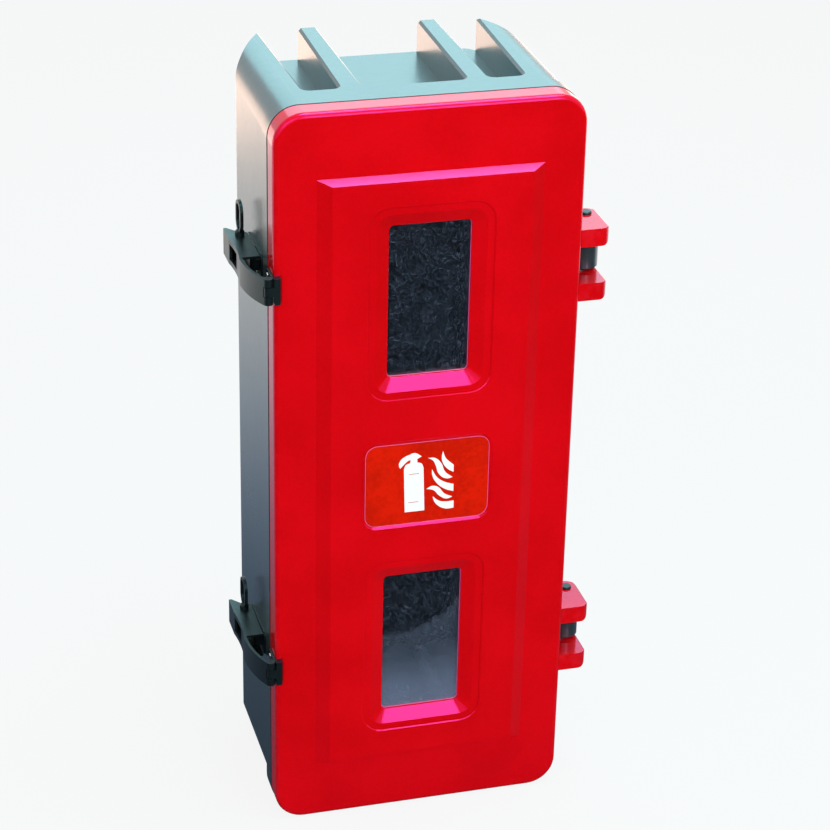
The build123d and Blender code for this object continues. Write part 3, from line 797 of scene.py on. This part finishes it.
class CABINET_OT_finish_steel(bpy.types.Operator):
    """Gives the latches' pivot pins a drawn steel finish"""

    bl_idname = "cabinet.finish_steel"
    bl_label = "Finish pivot pins"

    def execute(self, context):
        finish = Finish("drawn_pin_steel")
        lines = finish.noise(0.0006, 3.0, 0.6, stretch=(1, 1, 0.05))
        stain = finish.noise(0.006, 3.0, 0.6)
        finish.fill(
            finish.shader,
            {
                "Base Color": finish.blend(
                    stain, (0.50, 0.50, 0.49, 1), (0.68, 0.68, 0.66, 1)
                ),
                "Metallic": 1.0,
                "Roughness": 0.22 + lines * 0.2,
                "Normal": finish.bump(lines, 0.00001),
            },
        )
        finish.cover(*(f"latch_pivot_pin_{end}" for end in ENDS))
        return {"FINISHED"}


class CABINET_OT_finish_windows(bpy.types.Operator):
    """Gives the window panes clear sheet plastic with a slightly wavy face, fine scuffs, and a
    bluish painted reflection over the lower pane outside a round arc
    """

    bl_idname = "cabinet.finish_windows"
    bl_label = "Finish window panes"

    def execute(self, context):
        windows = context.scene.cabinet_windows
        finish = Finish("clear_sheet_plastic")
        waves = finish.noise(0.016, 3.0, 0.6)
        film = finish.noise(0.05, 4.0, 0.6)
        finish.fill(
            finish.shader,
            {
                "Base Color": finish.blend(
                    film, (0.80, 0.86, 0.90, 1), (0.90, 0.94, 0.96, 1)
                ),
                "Roughness": 0.04 + film * 0.08,
                "IOR": 1.58,
                "Transmission Weight": 1.0,
                "Normal": finish.bump(waves, 0.0004),
            },
        )
        scuffs = finish.step(finish.noise(0.0045, 4.0, 0.75, twist=2.2), 0.5, 0.7)
        # Painted reflection: a bluish haze over the lower pane, outside a round arc and thicker
        # towards its bottom, stands in for the bright floor the pane mirrors.
        low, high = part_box("window_pane_lower")
        up = finish.axis("Z")
        across = finish.axis("X") + windows.reflection_arc_offset
        rise = up - high.z
        reach = (across * across + rise * rise) ** 0.5
        in_lower = 1.0 - finish.step(up, high.z, high.z + 0.02)
        arc_radius = windows.reflection_arc_radius
        outside_arc = finish.step(reach, arc_radius - 0.003, arc_radius + 0.004)
        toward_bottom = 1.0 - finish.step(up, low.z, (low.z + high.z) / 2)
        thin, thick, unevenness = 0.055, 0.28, 0.1
        painted_pane_reflection = in_lower * outside_arc * (thin + toward_bottom * thick + (film - 0.5) * unevenness)
        cover = scuffs * windows.scuffing + painted_pane_reflection + film * 0.015
        scuff_and_reflection_haze = finish.node(
            "ShaderNodeBsdfDiffuse", "BSDF", None, {"Color": shade(windows.scuff_and_reflection_colour, 1)}
        )
        clear = Port(finish, finish.shader.outputs[0])
        finish.show(finish.mixed(cover, clear, scuff_and_reflection_haze), "Material Output")
        finish.cover(*(f"window_pane_{end}" for end in ENDS))
        return {"FINISHED"}


class CABINET_OT_finish_seal(bpy.types.Operator):
    """Gives the seal ring its soft foam rubber"""

    bl_idname = "cabinet.finish_seal"
    bl_label = "Finish seal"

    def execute(self, context):
        finish = Finish("foam_seal_rubber")
        cells = finish.noise(0.0007, 4.0, 0.7)
        finish.fill(
            finish.shader,
            {
                "Base Color": finish.blend(
                    cells, (0.012, 0.012, 0.013, 1), (0.035, 0.036, 0.038, 1)
                ),
                "Roughness": 0.75 + cells * 0.2,
                "Normal": finish.bump(cells, 0.0002),
            },
        )
        finish.cover("body_seal")
        return {"FINISHED"}


def spun(name, outline, steps, place):
    """A round piece from an outline of (radius, height) in millimetres, spun and placed."""
    shape = bmesh.new()
    points = [shape.verts.new((radius / 1000, 0, height / 1000)) for radius, height in outline]
    edges = [shape.edges.new(pair) for pair in zip(points, points[1:])]
    bmesh.ops.spin(
        shape, geom=points + edges, cent=(0, 0, 0), axis=(0, 0, 1), dvec=(0, 0, 0),
        angle=math.tau, steps=steps, use_merge=True, use_duplicate=False,
    )
    bmesh.ops.remove_doubles(shape, verts=shape.verts, dist=0.000001)
    bmesh.ops.recalc_face_normals(shape, faces=shape.faces)
    bmesh.ops.transform(shape, matrix=place, verts=shape.verts)
    return piece_from(name, shape)


class CABINET_OT_fit_screws(bpy.types.Operator):
    """Sets small domed steel screws in the latch anchors and the keeper plates"""

    bl_idname = "cabinet.fit_screws"
    bl_label = "Fit screws"

    def execute(self, context):
        screws = context.scene.cabinet_screws
        radius = screws.head * 500
        rise = screws.head * 230
        outline = [(radius * out, rise * up) for out, up in SCREW_PROFILE]
        steel = bpy.data.materials["drawn_pin_steel"]
        outward = Matrix.Rotation(-math.pi / 2, 4, "Y")
        for end in ENDS:
            for node, body, face, inset, spread in (
                (
                    "latch_anchor", "door_leaf",
                    screws.leg_face, screws.leg_inset, screws.leg_spread,
                ),
                (
                    "latch_keeper", "cabinet",
                    screws.plate_face, screws.plate_inset, screws.plate_spread,
                ),
            ):
                low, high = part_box(f"{node}_{end}")
                middle = (low.z + high.z) / 2
                for side, mark in ((1, "top"), (-1, "bottom")):
                    place = Vector((high.x - face, high.y - inset, middle + side * spread))
                    screw = spun(
                        f"{node}_screw_{end}_{mark}",
                        outline,
                        20,
                        Matrix.Translation(place) @ outward,
                    )
                    screw.data.materials.append(steel)
                    smooth(screw)
                    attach(screw, body)
        return {"FINISHED"}


def flat_figure(name, outlines, place, thickness):
    """A flat figure from closed curves drawn in the plane of the door, made a mesh.

    Each outline is a row of (across, up, handle) points in millimetres. An outline that
    lies inside another one is a hole in it.
    """
    drawing = bpy.data.curves.new(name, "CURVE")
    drawing.dimensions = "2D"
    drawing.fill_mode = "BOTH"
    drawing.extrude = thickness / 2
    drawing.resolution_u = 6
    for points in outlines:
        spline = drawing.splines.new("BEZIER")
        spline.bezier_points.add(len(points) - 1)
        spline.use_cyclic_u = True
        for point, (across, up, handle) in zip(spline.bezier_points, points):
            point.co = (across / 1000, up / 1000, 0)
            point.handle_left_type = point.handle_right_type = handle
    return drawn_piece(name, drawing, place)


def strip(left, right, up, thickness):
    """A thin level bar, as a corner-only outline."""
    return [
        (left, up, CORNER), (right, up, CORNER),
        (right, up - thickness, CORNER), (left, up - thickness, CORNER),
    ]


BOTTLE = [
    (-22.0, -31.2, CORNER), (-23.7, 16.4, CORNER), (-21.8, 20.6, SMOOTH), (-17.6, 22.4, CORNER),
    (-17.0, 25.8, CORNER), (-19.4, 25.2, SMOOTH), (-24.0, 21.0, SMOOTH), (-27.5, 17.4, CORNER),
    (-28.7, 20.6, SMOOTH), (-27.4, 26.0, SMOOTH), (-23.0, 29.8, SMOOTH), (-17.2, 31.8, CORNER),
    (-15.6, 32.9, CORNER), (-12.4, 32.8, SMOOTH), (-6.0, 28.6, CORNER), (-10.4, 26.2, CORNER),
    (-10.3, 22.4, CORNER), (-6.2, 20.8, SMOOTH), (-4.0, 16.4, CORNER), (-2.2, -31.2, CORNER),
]
FLAMES = [
    [(15.4, 31.6, CORNER), (18.0, 24.4, SMOOTH), (26.4, 15.6, CORNER), (26.4, 7.8, CORNER),
     (20.2, 12.0, SMOOTH), (15.2, 19.6, SMOOTH), (14.2, 26.0, SMOOTH)],
    [(0.6, 26.0, CORNER), (7.4, 25.2, SMOOTH), (13.6, 19.2, SMOOTH), (18.0, 9.0, SMOOTH),
     (25.6, 2.2, CORNER), (19.4, 1.4, SMOOTH), (11.6, 7.4, SMOOTH), (8.2, 17.0, SMOOTH),
     (5.4, 22.6, SMOOTH)],
    [(4.6, 13.2, CORNER), (9.8, 4.0, SMOOTH), (17.4, -2.0, SMOOTH), (26.8, -5.6, CORNER),
     (26.8, -13.4, CORNER), (19.0, -10.4, SMOOTH), (9.4, -2.2, SMOOTH), (5.0, 6.4, SMOOTH)],
    [(-0.6, -7.8, CORNER), (5.2, -5.2, SMOOTH), (11.2, -7.0, SMOOTH), (17.8, -15.0, SMOOTH),
     (26.0, -19.4, CORNER), (20.2, -21.0, SMOOTH), (12.4, -16.6, SMOOTH), (6.8, -10.2, SMOOTH)],
    [(6.0, -16.8, CORNER), (12.2, -22.2, SMOOTH), (18.0, -24.0, SMOOTH), (27.4, -24.0, CORNER),
     (27.4, -32.0, CORNER), (19.6, -32.0, SMOOTH), (11.0, -27.2, SMOOTH), (7.2, -21.6, SMOOTH)],
]


def rounded_outline(width, height, radius, steps=5):
    """Corner points of a rounded rectangle about the origin, in metres."""
    points = []
    for corner, (side, end) in enumerate(((1, 1), (-1, 1), (-1, -1), (1, -1))):
        for step in range(steps + 1):
            turn = math.pi / 2 * (corner + step / steps)
            points.append(
                (
                    side * (width / 2 - radius) + radius * math.cos(turn),
                    end * (height / 2 - radius) + radius * math.sin(turn),
                )
            )
    return points


def bead(name, outline, thickness, place):
    """A thin round bead along a closed outline in the plane of the door, made a mesh."""
    drawing = bpy.data.curves.new(name, "CURVE")
    drawing.dimensions = "3D"
    drawing.bevel_depth = thickness / 2
    drawing.bevel_resolution = 1
    spline = drawing.splines.new("POLY")
    spline.points.add(len(outline) - 1)
    spline.use_cyclic_u = True
    for point, (across, up) in zip(spline.points, outline):
        point.co = (across, up, 0, 1)
    piece = drawn_piece(name, drawing, place)
    smooth(piece)
    return piece


def sloped_rim(name, outer, inner, front, depth, place):
    """A thin ring that slopes from an outer outline in front to an inner one further back."""
    shape = bmesh.new()
    edges = []
    for outline, back in ((outer, front), (inner, front + depth)):
        ring = [shape.verts.new((across, back, up)) for across, up in outline]
        edges += [shape.edges.new(pair) for pair in zip(ring, ring[1:] + ring[:1])]
    bmesh.ops.bridge_loops(shape, edges=edges)
    bmesh.ops.solidify(shape, geom=shape.faces[:], thickness=RIM_SKIN)
    bmesh.ops.recalc_face_normals(shape, faces=shape.faces)
    bmesh.ops.translate(shape, verts=shape.verts, vec=place)
    return piece_from(name, shape)


class CABINET_OT_fit_rims(bpy.types.Operator):
    """Adds the fine slopes along the window ledges and the sign, and pale pink beads of painted
    highlight at the panes and the sign's edge
    """

    bl_idname = "cabinet.fit_rims"
    bl_label = "Fit rims"

    def execute(self, context):
        rims = context.scene.cabinet_rims
        plastic = bpy.data.materials["red_door_plastic"]
        # Painted highlight: a pale pink material for beads that stand in for the light caught
        # on the cut edges.
        edges = Finish("painted_highlight_edge")
        streaks = edges.noise(0.004, 3.0, 0.6)
        edges.fill(
            edges.shader,
            {
                "Base Color": edges.blend(
                    streaks, shade(rims.highlight_edge_colour, 0.8), shade(rims.highlight_edge_colour, 1.15)
                ),
                "Roughness": 0.3 + streaks * 0.15,
                "Normal": edges.bump(streaks, 0.00002),
            },
        )
        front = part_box("door")[0].y
        width, height = rims.window_width, rims.window_height
        ledge_width = width + rims.ledge_border * 2
        ledge_height = height + rims.ledge_border * 2
        slope, bead_size = rims.slope, rims.edge
        overlap = bead_size * 0.4
        for end in ENDS:
            low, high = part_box(f"window_pane_{end}")
            ledge = sloped_rim(
                f"ledge_rim_{end}",
                rounded_outline(
                    ledge_width + slope / 2,
                    ledge_height + slope / 2,
                    rims.ledge_corner + slope / 6,
                ),
                rounded_outline(
                    ledge_width - slope, ledge_height - slope, rims.ledge_corner - slope / 2
                ),
                front + LEDGE_RIM_SUNK,
                slope / 2,
                middle_of(low, high),
            )
            ledge.data.materials.append(plastic)
            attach(ledge, "door_leaf")
            # A bead of painted highlight round the pane's opening.
            pane_edge = bead(
                f"pane_edge_{end}",
                rounded_outline(
                    width - overlap, height - overlap, rims.window_corner - overlap / 2
                ),
                bead_size,
                middle_of(low, high, low.y - bead_size / 2),
            )
            edges.cover(pane_edge)
            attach(pane_edge, "door_leaf")
        low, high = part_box("sign_plate")
        size = high - low
        frame_rim = sloped_rim(
            "sign_rim",
            rounded_outline(
                size.x + slope * 3, size.z + slope * 3, rims.sign_corner + slope * 1.5
            ),
            rounded_outline(size.x, size.z, rims.sign_corner),
            front - SIGN_RIM_PROUD,
            SIGN_RIM_DEPTH,
            middle_of(low, high),
        )
        frame_rim.data.materials.append(plastic)
        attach(frame_rim, "door_leaf")
        # A bead of painted highlight round the sign's edge.
        sign_edge = bead(
            "sign_edge",
            rounded_outline(
                size.x - bead_size, size.z - bead_size, rims.sign_corner - bead_size / 2
            ),
            bead_size * 0.6,
            middle_of(low, high, low.y),
        )
        edges.cover(sign_edge)
        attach(sign_edge, "door_leaf")
        return {"FINISHED"}


class CABINET_OT_print_sign(bpy.types.Operator):
    """Prints a plain extinguisher and flames on the sign, and colours its face"""

    bl_idname = "cabinet.print_sign"
    bl_label = "Print sign"

    def execute(self, context):
        sign = context.scene.cabinet_sign
        face = Finish("sign_print_red")
        mottle = face.noise(0.004, 3.0, 0.6)
        clouds = face.noise(0.03, 3.0, 0.6)
        face.fill(
            face.shader,
            {
                "Base Color": face.blend(
                    face.step(mottle * 0.5 + clouds * 0.5, 0.35, 0.65),
                    shade(sign.face_colour, 0.82),
                    shade(sign.face_colour, 1.08),
                ),
                "Roughness": 0.32 + (mottle - 0.5) * 0.2,
                "Specular IOR Level": 0.04,
                "Normal": face.bump(mottle, 0.00005),
            },
        )
        face.cover("sign_plate")

        ink = Finish("sign_print_white")
        rub = ink.noise(0.003, 4.0, 0.6)
        ink.fill(
            ink.shader,
            {
                "Base Color": ink.blend(
                    rub, shade(sign.ink_colour, 0.96), shade(sign.ink_colour, 1.03)
                ),
                "Roughness": 0.4 + (rub - 0.5) * 0.2,
                "Specular IOR Level": 0.35,
                "Normal": ink.bump(rub, 0.00002),
            },
        )
        low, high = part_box("sign_plate")
        place = middle_of(low, high, low.y - sign.ink_thickness / 2)
        bands = [strip(-18.6, -8.4, up, 0.7) for up in (10.4, -20.6)]
        extinguisher = flat_figure(
            "sign_extinguisher", [BOTTLE, *bands], place, sign.ink_thickness
        )
        flames = flat_figure("sign_flames", FLAMES, place, sign.ink_thickness)
        for figure in (extinguisher, flames):
            ink.cover(figure)
            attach(figure, "door_leaf")
        return {"FINISHED"}


class CABINET_OT_set_stage(bpy.types.Operator):
    """Adds the pale floor, the soft light and the camera"""

    bl_idname = "cabinet.set_stage"
    bl_label = "Set stage"

    def execute(self, context):
        stage = context.scene.cabinet_stage
        self.lay_floor(context, stage)
        self.light_surroundings(context, stage)
        white = (1.0, 1.0, 1.0)
        for name, place, size, power, colour in (
            ("front_light", (-1.3, -3.0, 1.9), (2.6, 2.0), stage.key_power, white),
            ("bevel_light", (0.75, -2.75, 1.1), (0.9, 1.5), stage.bevel_power, white),
            ("rear_light", (0.6, 2.1, 1.55), (2.6, 1.6), stage.sky_power, stage.sky_colour),
            ("top_light", (0.45, -0.3, 2.2), (1.2, 1.2), stage.top_power, stage.sky_colour),
        ):
            self.hang_light(context, name, Vector(place), size, power, colour)
        self.place_camera(context, stage)
        context.scene.view_settings.view_transform = "Standard"
        return {"FINISHED"}

    def lay_floor(self, context, stage):
        """A square floor under the cabinet that looks white and keeps the shadow.

        Shiny and clear surfaces see painted shade on it, dim close to the cabinet and dark in
        front of it, white further out behind it, and a painted warm glow beyond that.
        """
        shape = bmesh.new()
        bmesh.ops.create_grid(shape, x_segments=1, y_segments=1, size=stage.floor_size / 2)
        bmesh.ops.translate(shape, verts=shape.verts, vec=(0, 0, CAD_LOW.z))
        floor = piece_from("floor", shape)

        finish = Finish("pale_floor")
        paper = finish.noise(0.4, 2.0)
        finish.fill(
            finish.shader,
            {
                "Base Color": finish.blend(
                    paper, (0.38, 0.38, 0.38, 1), (0.42, 0.42, 0.42, 1)
                ),
                "Roughness": 0.9,
                "Specular IOR Level": 0.0,
            },
        )
        across = finish.axis("X")
        back = finish.axis("Y")
        distance = (across * across + back * back) ** 0.5
        rise = finish.step(distance, *FOOT_TO_WHITE)
        behind = finish.step(back, *FRONT_TO_BACK)
        outer = finish.step(distance, *WHITE_TO_WARM) * behind
        # Painted shade and painted glow: mirrors see the floor dimmed and bluish near the
        # cabinet's foot, dark in front, and warm and bright far behind.
        shade_at_foot, shade_in_front, lit_share = 0.14, 0.03, 0.88
        mirrored = behind * (shade_at_foot + rise * (1 - shade_at_foot)) + (1.0 - behind) * shade_in_front
        direct = finish.seen_by("Camera")
        far = direct.math("MAXIMUM", direct, rise * behind)
        pale = finish.glow(finish.blend(far, (0.45, 0.66, 1.0, 1), (1, 1, 1, 1)), 1.0)
        dark = finish.glow((1, 1, 1, 1), 0.0)
        painted_warm_glow = finish.glow((1.0, 0.74, 0.62, 1), 3.4)
        painted_floor_reflection = finish.mixed(outer, finish.mixed(mirrored, dark, pale), painted_warm_glow)
        plain = Port(finish, finish.shader.outputs[0])
        direct_view = finish.mixed(direct * lit_share, plain, pale)
        mirror = finish.seen_by("Glossy", "Transmission")
        finish.show(finish.mixed(mirror, direct_view, painted_floor_reflection), "Material Output")
        finish.cover(floor)

    def light_surroundings(self, context, stage):
        """An even pale light from all sides, white where the camera or a mirror sees it."""
        world = bpy.data.worlds.new("surroundings")
        context.scene.world = world
        air = Graph(world)
        even = air.node(
            "ShaderNodeBackground",
            "Background",
            None,
            {"Color": (0.95, 0.98, 1.0, 1), "Strength": stage.surroundings},
        )
        white = air.node(
            "ShaderNodeBackground", "Background", None, {"Color": (1, 1, 1, 1)}
        )
        seen = air.seen_by("Camera", "Glossy", "Transmission")
        air.show(air.mixed(seen, even, white), "World Output")

    def hang_light(self, context, name, place, size, power, colour):
        """One soft rectangular light, turned towards the middle of the cabinet."""
        lamp = bpy.data.lights.new(name, "AREA")
        lamp.shape = "RECTANGLE"
        lamp.size, lamp.size_y = size
        lamp.energy = power
        lamp.color = colour
        light = bpy.data.objects.new(name, lamp)
        context.scene.collection.objects.link(light)
        light.location = place
        light.rotation_mode = "QUATERNION"
        centre = (CAD_LOW + CAD_HIGH) / 2
        light.rotation_quaternion = (centre - place).to_track_quat("-Z", "Y")
        light.visible_camera = False

    def place_camera(self, context, stage):
        """The camera, turned by its heading, tilt and roll."""
        lens = bpy.data.cameras.new("camera")
        lens.lens = stage.lens
        lens.sensor_width = 36.0
        camera = bpy.data.objects.new("camera", lens)
        context.scene.collection.objects.link(camera)
        camera.matrix_world = (
            Matrix.Translation(stage.eye)
            @ Matrix.Rotation(-stage.heading, 4, "Z")
            @ Matrix.Rotation(math.pi / 2 - stage.tilt, 4, "X")
            @ Matrix.Rotation(stage.roll, 4, "Z")
        )
        context.scene.camera = camera


class CABINET_PT_workshop(bpy.types.Panel):
    """Lists the steps that dress the cabinet"""

    bl_label = "Extinguisher cabinet"
    bl_idname = "CABINET_PT_workshop"
    bl_space_type = "VIEW_3D"
    bl_region_type = "UI"
    bl_category = "Cabinet"

    def draw(self, context):
        scene = context.scene
        for holder in GROUPS:
            group = getattr(scene, holder)
            box = self.layout.box()
            for name in group.__annotations__:
                box.prop(group, name)
        for operator in OPERATORS:
            self.layout.operator(operator.bl_idname)


GROUPS = {
    "cabinet_plastics": CabinetPlastics,
    "cabinet_windows": CabinetWindows,
    "cabinet_sign": CabinetSign,
    "cabinet_rims": CabinetRims,
    "cabinet_screws": CabinetScrews,
    "cabinet_stage": CabinetStage,
}
OPERATORS = (
    CABINET_OT_finish_door,
    CABINET_OT_finish_tub,
    CABINET_OT_finish_latches,
    CABINET_OT_finish_steel,
    CABINET_OT_finish_windows,
    CABINET_OT_finish_seal,
    CABINET_OT_fit_rims,
    CABINET_OT_fit_screws,
    CABINET_OT_print_sign,
    CABINET_OT_set_stage,
)


def register():
    for name, group in GROUPS.items():
        bpy.utils.register_class(group)
        setattr(bpy.types.Scene, name, bpy.props.PointerProperty(type=group))
    for kind in (*OPERATORS, CABINET_PT_workshop):
        bpy.utils.register_class(kind)


def unregister():
    for kind in (CABINET_PT_workshop, *reversed(OPERATORS)):
        bpy.utils.unregister_class(kind)
    for name, group in GROUPS.items():
        delattr(bpy.types.Scene, name)
        bpy.utils.unregister_class(group)


def main():
    register()
    bpy.ops.cabinet.finish_door()
    bpy.ops.cabinet.finish_tub()
    bpy.ops.cabinet.finish_latches()
    bpy.ops.cabinet.finish_steel()
    bpy.ops.cabinet.finish_windows()
    bpy.ops.cabinet.finish_seal()
    bpy.ops.cabinet.fit_rims()
    bpy.ops.cabinet.fit_screws()
    bpy.ops.cabinet.print_sign()
    bpy.ops.cabinet.set_stage()


if __name__ == "__main__":
    main()
